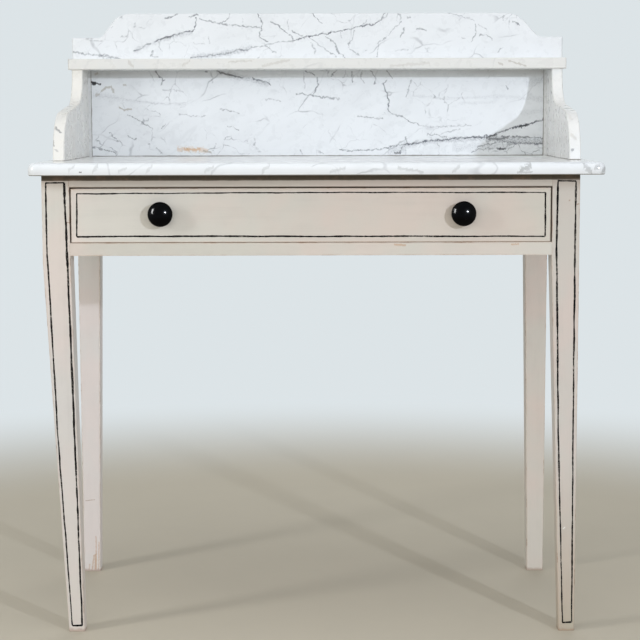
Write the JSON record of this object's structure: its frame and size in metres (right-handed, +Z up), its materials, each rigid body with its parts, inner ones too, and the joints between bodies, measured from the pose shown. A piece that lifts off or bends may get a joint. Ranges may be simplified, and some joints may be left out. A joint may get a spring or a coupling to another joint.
{
  "type": "marble-top washstand",
  "caption": "Painted wooden washstand with tapered legs, a shallow drawer with black knobs, and a white marble top, shaped cheeks, upright back and narrow shelf.",
  "frame": {"origin": "on the floor, under the middle of the whole object's box", "axes": "+Z up, +X to the right of someone facing the drawer, front towards -Y"},
  "size_m": [0.914, 0.472, 1.022],
  "materials": {
    "painted_wood": "old matt paint, warm off-white, brush marks and wear along the edges",
    "bare_wood": "bare softwood, darkened with age",
    "marble": "polished white marble with thin grey veins",
    "plaster": "dry white plaster",
    "black_knob": "glossy black",
    "iron": "dull iron, a little rust"
  },
  "bodies": {
    "frame": {"leg_front_left": "painted_wood", "leg_front_right": "painted_wood", "leg_back_left": "painted_wood", "leg_back_right": "painted_wood", "top_front_rail": "painted_wood", "bottom_front_rail": "painted_wood", "side_apron_left": "painted_wood", "side_apron_right": "painted_wood", "back_apron": "painted_wood", "drawer_runner_left": "bare_wood", "drawer_runner_right": "bare_wood", "drawer_kicker_left": "bare_wood", "drawer_kicker_right": "bare_wood", "drawer_guide_left": "bare_wood", "drawer_guide_right": "bare_wood", "drawer_stops": "bare_wood", "glue_blocks": "bare_wood", "marble_top": "marble", "marble_back": "marble", "marble_cheek_left": "marble", "marble_cheek_right": "marble", "marble_shelf": "marble", "plaster_fillets": "plaster", "runner_nails": "iron", "kicker_nails": "iron", "marble_pins": "iron"},
    "drawer": {"drawer_front": "painted_wood", "drawer_side_left": "bare_wood", "drawer_side_right": "bare_wood", "drawer_back": "bare_wood", "drawer_bottom": "bare_wood", "bottom_brads": "iron", "drawer_knobs": "black_knob", "knob_washers": "iron", "knob_screws": "iron"}
  },
  "joints": [
    {"name": "drawer_slide", "type": "slide", "parent": "frame", "child": "drawer", "axis": [0, -1, 0], "range_m": [0, 0.3]}
  ]
}
